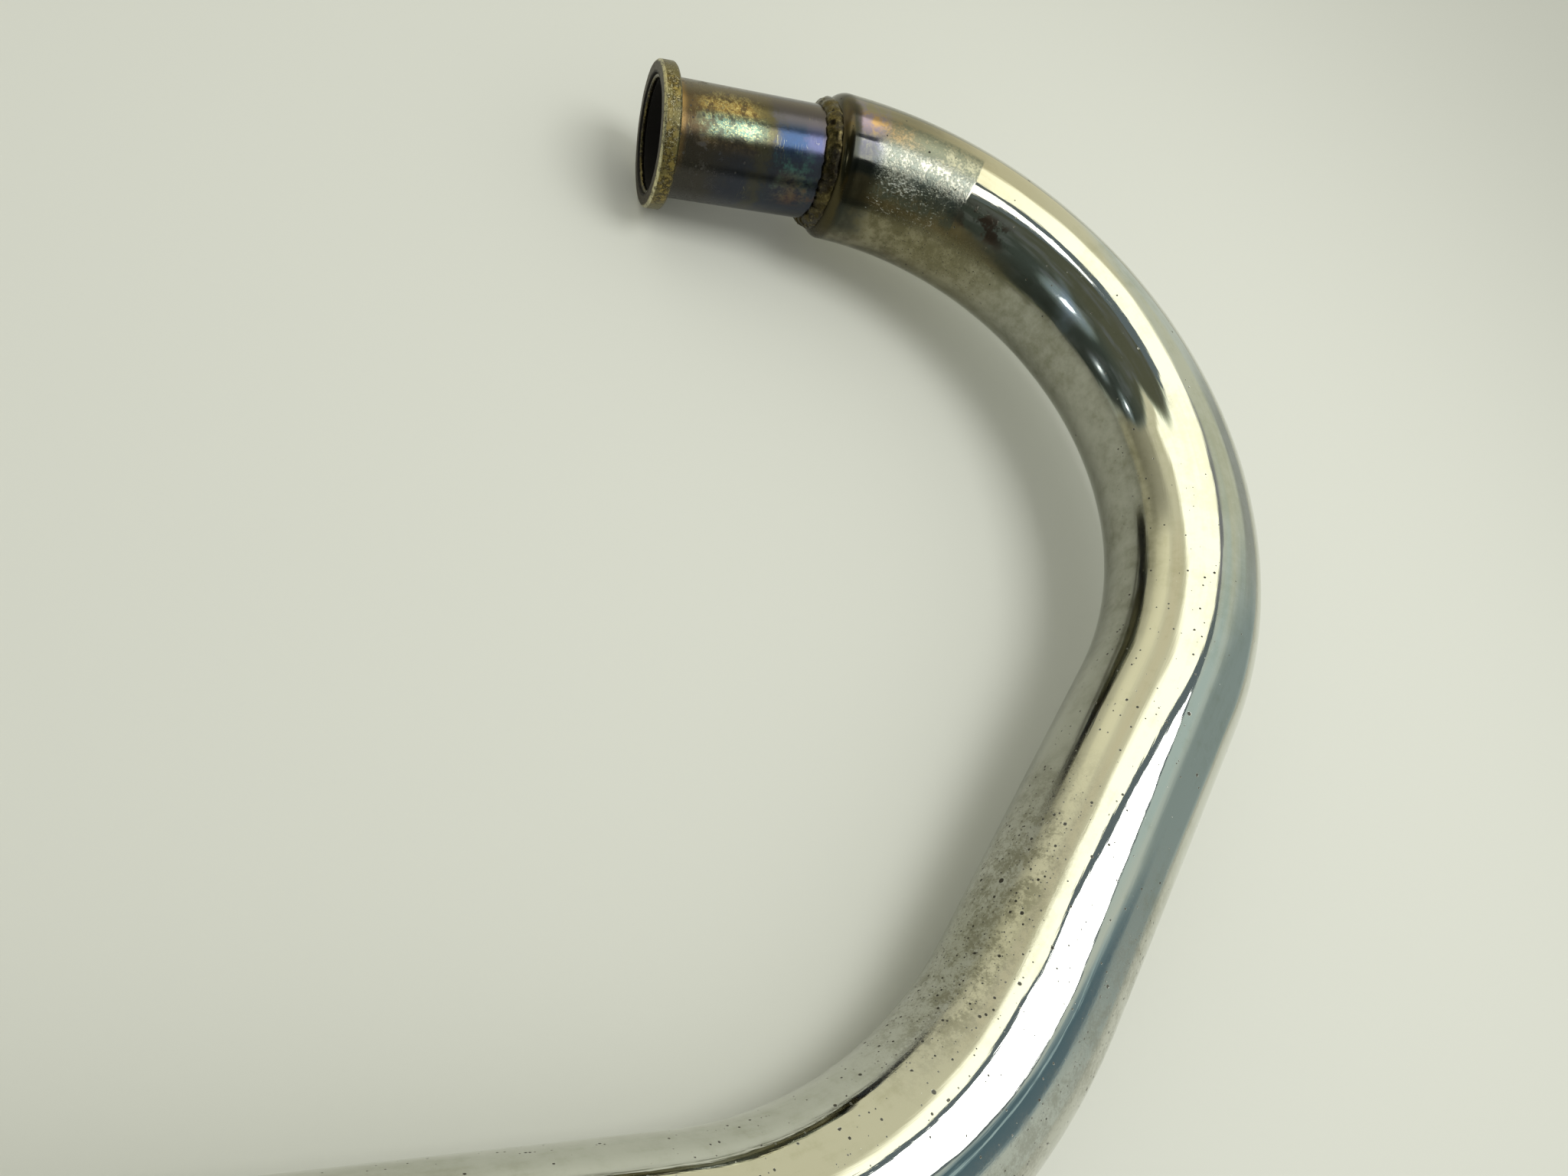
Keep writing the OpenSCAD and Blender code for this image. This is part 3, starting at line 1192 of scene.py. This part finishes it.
@dataclass(frozen=True)
class OuterPipe:
    """The chromed pipe with its rounded shoulder."""

    line: CentreLine
    outer_r: float = 22.5 * MM
    wall: float = 1.2 * MM
    mouth_r: float = 18.0 * MM
    mouth_at: float = 56.0 * MM
    around: int = 128
    spacing: float = 3.2 * MM
    round_steps: int = 8
    swell_size: float = 45 * MM
    swell: float = 0.10 * MM

    def build(self) -> bpy.types.Object:
        """Models the pipe from its mouth to the tail end.

        Returns:
            The piece.
        """
        bench = Bench("chromed_pipe", self.line)
        bench.ring(self.mouth_at, self.mouth_r, self.around)
        shoulder = self.outer_r - self.mouth_r
        radius = self.mouth_r
        for step in range(1, self.round_steps + 1):
            turn = math.pi / 2 * step / self.round_steps
            bench.follow(self.mouth_at + shoulder * (1 - math.cos(turn)), shoulder)
            target = self.mouth_r + shoulder * math.sin(turn)
            bench.widen(target - radius, radius)
            radius = target
        end = self.line.stretches()[-1]
        bench.follow(end.station + end.length, self.spacing)
        bench.clean()
        bench.uneven(self.swell_size, self.swell)
        bench.modify("SOLIDIFY", thickness=self.wall, offset=-1.0, use_rim=True)
        return bench.hand_over(WornChrome("worn_chrome"), "outer_pipe")


@dataclass(frozen=True)
class GasPipe:
    """The gas pipe, whose tinted end carries the collar."""

    line: CentreLine
    outer_r: float = 17.5 * MM
    wall: float = 1.5 * MM
    setback: float = 2.0 * MM
    stub_end: float = 60.0 * MM
    around: int = 112
    fine: float = 1.2 * MM
    coarse: float = 5.0 * MM

    def build(self) -> bpy.types.Object:
        """Models the pipe from the collar to the tail end.

        Returns:
            The piece.
        """
        bench = Bench("gas_pipe", self.line)
        bench.ring(self.setback, self.outer_r, self.around)
        bench.follow(self.stub_end, self.fine)
        end = self.line.stretches()[-1]
        bench.follow(end.station + end.length, self.coarse)
        bench.clean()
        bench.modify("SOLIDIFY", thickness=self.wall, offset=-1.0, use_rim=True)
        return bench.hand_over(HeatTint("heat_tint"), "inner_pipe")


@dataclass(frozen=True)
class Collar:
    """The turned collar at the cylinder head's end."""

    line: CentreLine
    bore_r: float = 17.5 * MM
    rim_r: float = 21.5 * MM
    thickness: float = 5.5 * MM
    bevel: float = 0.7 * MM
    edge: float = 0.18 * MM
    swell_size: float = 5 * MM
    swell: float = 0.10 * MM
    around: int = 180
    rings: int = 6

    def build(self) -> bpy.types.Object:
        """Models the collar's section and carries it round.

        Returns:
            The piece.
        """
        bench = Bench("collar", self.line)
        bench.ring(0.0, self.bore_r, self.around)
        radius = self.bore_r
        straight = self.thickness - 2 * self.bevel
        width = self.rim_r - self.bore_r - self.bevel
        moves = [
            (0.0, width),
            (self.bevel, self.bevel),
            (straight, 0.0),
            (self.bevel, -self.bevel),
            (0.0, -width),
            (-self.thickness, 0.0),
        ]
        axis = self.line.at(0.0).to_3x3() @ Vector((0, 0, 1))
        for ahead, growth in moves:
            count = max(1, round(math.hypot(ahead, growth) / (self.thickness / self.rings)))
            for _ in range(count):
                bench.extrude(axis * (ahead / count))
                bench.station += ahead / count
                if growth:
                    bench.widen(growth / count, radius)
                    radius += growth / count
        bench.clean()
        bench.modify("BEVEL", width=self.edge, segments=2, limit_method="ANGLE")
        bench.uneven(self.swell_size, self.swell)
        return bench.hand_over(ScaledSteel("scaled_steel"), "port_collar")


@dataclass(frozen=True)
class Bead:
    """A weld bead of overlapping ripples around the pipe.

    Attributes:
        line: The header's centre line.
        name: The piece's name.
        node: The CAD node that it stands for.
        station: Path length of its middle.
        radius: Distance from the centre line to the middle of its section.
        thick: Radius of its section.
        ripples: Number of ripples.
        lean: How far the ripples lean along the pipe, in ripples.
        breadth: How much broader than round its section is.
        climb: How much higher it gets towards the shoulder.
        lumps: Height of its lumps.
        lump_size: Width of its lumps.
        dip: Share of the height that is lost between two ripples.
        slow_dip: Share of the height that is lost in slow waves.
        spread: Waves round the pipe, in ripples, that space the ripples unevenly: number, phase and
            height of each.
        slow: Waves round the pipe that change the bead's thickness, in the same way.
        around: Number of sections round the pipe.
        section: Corners of a section.
    """

    line: CentreLine
    name: str
    node: str
    station: float
    radius: float
    thick: float
    ripples: int
    lean: float = 0.0
    breadth: float = 1.0
    climb: float = 0.0
    lumps: float = 0.0
    lump_size: float = 5 * MM
    dip: float = 0.17
    slow_dip: float = 0.10
    spread: tuple[tuple[float, float, float], ...] = ((5, 1.3, 0.35), (2, 0.4, 0.5))
    slow: tuple[tuple[float, float, float], ...] = ((3, 0.7, 0.5), (7, 2.1, 0.3))
    around: int = 288
    section: int = 20

    def build(self) -> bpy.types.Object:
        """Spins a round section about the pipe, then raises the ripples.

        Returns:
            The piece.
        """
        bench = Bench(self.name, self.line)
        here = self.line.at(self.station)
        bpy.ops.object.select_all(action="DESELECT")
        turned = here @ Matrix.Translation((self.radius, 0, 0))
        turned = turned @ Matrix.Rotation(math.pi / 2, 4, "X")
        bpy.ops.mesh.primitive_circle_add(
            vertices=self.section,
            radius=self.thick,
            location=turned.translation,
            rotation=turned.to_euler(),
        )
        bench.piece = bpy.context.active_object
        bench.piece.name = self.name
        bpy.ops.object.transform_apply(location=True, rotation=True, scale=True)
        bpy.ops.object.mode_set(mode="EDIT")
        bpy.ops.mesh.select_all(action="SELECT")
        axis = here.to_3x3() @ Vector((0, 0, 1))
        bpy.ops.mesh.spin(steps=self.around, angle=2 * math.pi, center=here.translation, axis=axis)
        bench.clean()
        self._ripple(bench.piece, here)
        if self.lumps:
            bench.uneven(self.lump_size, self.lumps)
        return bench.hand_over(BurntWeld("burnt_weld"), self.node)

    def _ripple(self, piece: bpy.types.Object, here: Matrix) -> None:
        """Broadens the section and swells it into ripples that lean along the bead.

        Args:
            piece: The bead.
            here: The frame of its middle.
        """
        inverse = here.inverted()
        for vertex in piece.data.vertices:
            local = inverse @ vertex.co
            turn = math.atan2(local.y, local.x)
            outward = Vector((math.cos(turn), math.sin(turn), 0))
            off = local - outward * self.radius
            place = turn * self.ripples / (2 * math.pi) + self._waves(turn, self.spread)
            wave = (place + self.lean * off.z / self.thick) % 1.0
            slow = MIDDLE + self._waves(turn, self.slow)
            swell = 1.0 - self.dip * wave**2 - self.slow_dip * slow
            height = off.dot(outward) * swell + self.climb * off.z
            ahead = Vector((0, 0, off.z * swell * self.breadth))
            vertex.co = here @ (outward * (self.radius + height) + ahead)

    @staticmethod
    def _waves(turn: float, waves: tuple[tuple[float, float, float], ...]) -> float:
        """Sums waves of a number round the pipe, a phase and a height, at an angle."""
        return sum(math.sin(turn * number + phase) * high for number, phase, high in waves)


class Wall:
    """What a glossy ray meets outside the floor, laid on in patches."""

    def __init__(self, paint: Painter, colour: str, strength: float) -> None:
        """Starts with one colour and strength all round."""
        self.paint = paint
        self.colour = paint.mix(0.0, colour, colour)
        self.strength: Signal | float = strength

    def lay(self, mask: Signal, light: "Light") -> None:
        """Lays a light on.

        Args:
            mask: Where it lies.
            light: Its colour and strength.
        """
        shown = mask * light.share
        self.colour = self.paint.mix(shown, self.colour, light.colour)
        self.strength = self.strength + (light.strength - self.strength) * shown


@dataclass(frozen=True)
class Light:
    """The colour and strength of a part of the walls, and how much of it shows."""

    colour: str
    strength: float
    share: float = 1.0


@dataclass(frozen=True)
class Patch(Light):
    """A patch of the walls. Turn and height give its two edges and their softness in degrees."""

    turn: tuple[float, float, float] = (0, 360, 1)
    height: tuple[float, float, float] = (-90, 90, 1)


@dataclass(frozen=True)
class Disc:
    """A round part of the walls: direction, height, radius and softness of its edge, in degrees."""

    turn: float
    height: float
    half: float
    soft: float

    def marked(self, paint: Painter, toward: bpy.types.NodeSocket) -> Signal:
        """One in the disc and zero outside it.

        Args:
            paint: The world's node builder.
            toward: The direction that is looked in.

        Returns:
            The mask.
        """
        turn, lift = math.radians(self.turn), math.radians(self.height)
        middle = (math.cos(turn) * math.cos(lift), math.sin(turn) * math.cos(lift), math.sin(lift))
        node = paint.node("ShaderNodeVectorMath", {"operation": "DOT_PRODUCT"}, [toward, middle])
        outer = math.cos(math.radians(self.half + self.soft))
        inner = math.cos(math.radians(max(0, self.half - self.soft)))
        return Signal(paint, node.outputs["Value"]).rise(outer, inner)


@dataclass(frozen=True)
class Spark:
    """A small lamp in the dark room: direction, height and radius in degrees, and strength."""

    turn: float
    height: float
    half: float
    strength: float


@dataclass(frozen=True)
class Room:
    """What the chrome mirrors: pale walls, and a dark room with small lamps."""

    base: Light = Light("#f7fff4", 0.66)
    patches: tuple[Patch, ...] = (
        Patch("#e9fffd", 0.35, turn=(160, 196, 9), height=(0, 46, 6)),
        Patch("#f9fff8", 0.41, turn=(194, 214, 5), height=(-12, 24, 5)),
        Patch("#fcffe8", 0.66, turn=(203, 228, 5), height=(24, 55, 5)),
        Patch("#eafffc", 0.62, turn=(182, 216, 9), height=(48, 62, 6)),
        Patch("#beebff", 0.2, turn=(146, 171, 5), height=(34, 58, 3)),
        Patch("#e0fbff", 0.6, turn=(150, 172, 5), height=(50, 52, 1)),
        Patch("#fffad8", 0.74, turn=(229, 352, 3), height=(-6, 90, 3)),
        Patch("#fff9d4", 0.93, turn=(283, 318, 6), height=(9, 27, 4)),
        Patch("#fff6d1", 0.74, turn=(278, 311, 7), height=(30, 41, 4)),
        Patch("#fffad7", 0.4, turn=(319, 356, 7), height=(8, 34, 5)),
        Patch("#fffde7", 1.75, turn=(229.5, 336, 2.5), height=(46, 90, 3)),
        Patch("#f4f8ff", 0.26, turn=(222.5, 229, 1.2), height=(54, 68, 3)),
        Patch("#fff0be", 0.24, turn=(38, 104, 8), height=(-24, 90, 8)),
    )
    cloud: Grain = Grain(5.0, 4.0)
    cloud_turn: float = 6.0
    cloud_height: float = 5.0
    discs: tuple[Disc, ...] = (
        Disc(24, 29, 34, 2),
        Disc(46, 60, 34, 3),
        Disc(10, 70, 21.5, 2),
    )
    dark: Light = Light("#e6fff2", 0.075)
    brown_disc: Disc = Disc(335, 60, 22, 18)
    brown: Light = Light("#fdffd2", 0.115, 0.9)
    murk: Grain = Grain(7.0, 5.0)
    murk_levels: tuple[float, float] = (0.48, 0.68)
    murky: Light = Light("#eef8ff", 0.17, 0.7)
    streak: Patch = Patch("#bcdcff", 0.3, 0.6, turn=(21, 26.5, 2.5), height=(2, 56, 8))
    sparks: tuple[Spark, ...] = (
        Spark(23.6, 35.5, 1.9, 16.0),
        Spark(7.2, 14.6, 0.9, 9.0),
        Spark(353.1, 20.6, 0.9, 9.0),
    )
    spark: str = "#f4f8ff"
    spark_edge: float = 0.4
    glow: Light = Light("#c2dcff", 0.7, 0.6)
    glow_reach: tuple[float, float] = (3.4, 3.0)

    def paint(self, paint: Painter, toward: bpy.types.NodeSocket) -> Wall:
        """Paints the room. Angles are in degrees, from +X towards +Y and upwards.

        Args:
            paint: The world's node builder.
            toward: The direction that is looked in.

        Returns:
            The painted walls.
        """
        parts = paint.node("ShaderNodeSeparateXYZ", None, [toward])
        x, y, z = (Signal(paint, parts.outputs[i]) for i in range(3))
        stray = paint.noise(toward, self.cloud) - MIDDLE
        turn = (y.math("ARCTAN2", x) * DEGREES + FULL_TURN).math("MODULO", FULL_TURN)
        turn = turn + stray * self.cloud_turn
        height = z.math("ARCSINE") * DEGREES + stray * self.cloud_height

        wall = Wall(paint, self.base.colour, self.base.strength)
        for patch in self.patches:
            wall.lay(turn.band(*patch.turn) * height.band(*patch.height), patch)
        dark = self.discs[0].marked(paint, toward)
        for disc in self.discs[1:]:
            dark = dark.highest(disc.marked(paint, toward))
        wall.lay(dark, self.dark)
        wall.lay(dark * self.brown_disc.marked(paint, toward), self.brown)
        murk = paint.noise(toward, self.murk).rise(*self.murk_levels)
        wall.lay(dark * murk, self.murky)
        wall.lay(turn.band(*self.streak.turn) * height.band(*self.streak.height), self.streak)
        wide, soft = self.glow_reach
        for lamp in self.sparks:
            glow = Disc(lamp.turn, lamp.height, lamp.half * wide, lamp.half * soft)
            wall.lay(glow.marked(paint, toward), self.glow)
            core = Disc(lamp.turn, lamp.height, lamp.half, self.spark_edge)
            wall.lay(core.marked(paint, toward), Light(self.spark, lamp.strength))
        return wall


@dataclass(frozen=True)
class Studio:
    """Pale floor, soft light and the photograph's camera."""

    room: Room = Room()
    floor: str = "#dbddd2"
    floor_rough: float = 0.8
    floor_size: float = 40.0
    plain: str = "#f6f6f0"
    level: float = 0.74
    lamp_at: tuple[float, float, float] = (-0.270, -0.020, 0.69)
    lamp_size: tuple[float, float] = (0.38, 0.37)
    lamp_power: float = 1.9
    card_at: tuple[float, float, float] = (-0.2675, -0.0400, 0.70)
    card_size: tuple[float, float] = (0.445, 0.470)
    card: Light = Light("#d5ebf5", 0.22)
    lens: float = 24.52
    sensor: float = 36.0
    spot: tuple[float, float, float] = (0.05908, 0.11799, 0.24757)
    aim: tuple[float, float, float] = (-0.11297, -0.04657, -0.07386)
    roll: float = 47.36

    def build(self) -> None:
        """Sets up the floor, the lamp, the world and the camera."""
        self.add_floor()
        self.add_lamp()
        self.add_card()
        self.paint_world()
        self.add_camera()
        bpy.context.scene.view_settings.view_transform = "Standard"

    def add_floor(self) -> None:
        """Adds the floor that the header lies on."""
        bpy.ops.object.select_all(action="DESELECT")
        bpy.ops.mesh.primitive_plane_add(size=self.floor_size)
        plane = bpy.context.active_object
        plane.name = "floor"
        paint = self.new_paint(plane, "pale_floor")
        sockets = {"Base Color": linear(self.floor), "Roughness": self.floor_rough}
        shader = paint.node("ShaderNodeBsdfPrincipled", None, sockets)
        paint.node("ShaderNodeOutputMaterial", None, {"Surface": shader.outputs[0]})

    def add_lamp(self) -> None:
        """Adds the soft lamp overhead."""
        bpy.ops.object.light_add(type="AREA", location=self.lamp_at)
        lamp = bpy.context.active_object
        lamp.name = "soft_lamp"
        lamp.data.shape = "RECTANGLE"
        lamp.data.size, lamp.data.size_y = self.lamp_size
        lamp.data.energy = self.lamp_power

    def add_card(self) -> None:
        """Adds the dark card round the lamp, which only glossy rays meet."""
        bpy.ops.object.select_all(action="DESELECT")
        bpy.ops.mesh.primitive_plane_add(size=1.0, location=self.card_at)
        card = bpy.context.active_object
        card.name = "dark_card"
        bpy.ops.transform.resize(value=(*self.card_size, 1.0))
        bpy.ops.object.transform_apply(location=True, rotation=True, scale=True)
        paint = self.new_paint(card, "dark_card")
        clear = paint.node("ShaderNodeBsdfTransparent")
        shade = paint.node(
            "ShaderNodeEmission", None, [linear(self.card.colour), self.card.strength]
        )
        mixed = self.glossy_only(paint, clear, shade)
        paint.node("ShaderNodeOutputMaterial", None, {"Surface": mixed.outputs[0]})

    def paint_world(self) -> None:
        """Paints plain light for matt surfaces, and the room for glossy ones."""
        world = bpy.data.worlds.new("studio")
        bpy.context.scene.world = world
        world.use_nodes = True
        paint = Painter(world.node_tree)
        wall = self.room.paint(paint, paint.node("ShaderNodeTexCoord").outputs["Generated"])
        shine = paint.node("ShaderNodeBackground", None, [wall.colour, wall.strength])
        plain = paint.node("ShaderNodeBackground", None, [linear(self.plain), self.level])
        mixed = self.glossy_only(paint, plain, shine)
        paint.node("ShaderNodeOutputWorld", None, {"Surface": mixed.outputs[0]})

    @staticmethod
    def new_paint(plane: bpy.types.Object, name: str) -> Painter:
        """Gives a plane a new material, and returns the builder of its nodes."""
        material = bpy.data.materials.new(name)
        material.use_nodes = True
        plane.data.materials.append(material)
        return Painter(material.node_tree)

    @staticmethod
    def glossy_only(paint: Painter, other: bpy.types.Node, glossy: bpy.types.Node) -> bpy.types.Node:
        """Shows one shader to glossy rays and another to all other rays.

        Args:
            paint: The node tree's builder.
            other: The shader for the other rays.
            glossy: The shader for glossy rays.

        Returns:
            The mixed shader.
        """
        ray = paint.node("ShaderNodeLightPath").outputs["Is Glossy Ray"]
        return paint.node("ShaderNodeMixShader", None, [ray, other.outputs[0], glossy.outputs[0]])

    def add_camera(self) -> None:
        """Adds the camera at the photograph's place and angle."""
        bpy.ops.object.camera_add(location=self.spot)
        camera = bpy.context.active_object
        camera.name = "camera"
        camera.data.lens = self.lens
        camera.data.sensor_width = self.sensor
        ahead = (Vector(self.aim) - Vector(self.spot)).normalized()
        side = ahead.cross(Vector((0, 0, 1))).normalized()
        over = side.cross(ahead)
        turn = math.radians(self.roll)
        right = side * math.cos(turn) + over * math.sin(turn)
        upward = over * math.cos(turn) - side * math.sin(turn)
        camera.rotation_euler = Matrix((right, upward, -ahead)).transposed().to_euler()
        bpy.context.scene.camera = camera


def main() -> None:
    """Builds the header and its studio."""
    logging.basicConfig(level=logging.INFO, format="%(name)s: %(message)s")
    line = CentreLine()
    mouth_bead = Bead(
        line,
        "mouth_bead",
        "collar_weld",
        station=1.2 * MM,
        radius=16.9 * MM,
        thick=0.7 * MM,
        ripples=44,
        lean=0.4,
    )
    neck_bead = Bead(
        line,
        "neck_bead",
        "neck_weld",
        station=55.0 * MM,
        radius=17.9 * MM,
        thick=2.5 * MM,
        ripples=23,
        lean=0.6,
        breadth=1.25,
        climb=0.25,
        lumps=0.9 * MM,
    )
    for part in (Collar(line), mouth_bead, GasPipe(line), neck_bead, OuterPipe(line)):
        part.build()
    Studio().build()


if __name__ == "__main__":
    main()
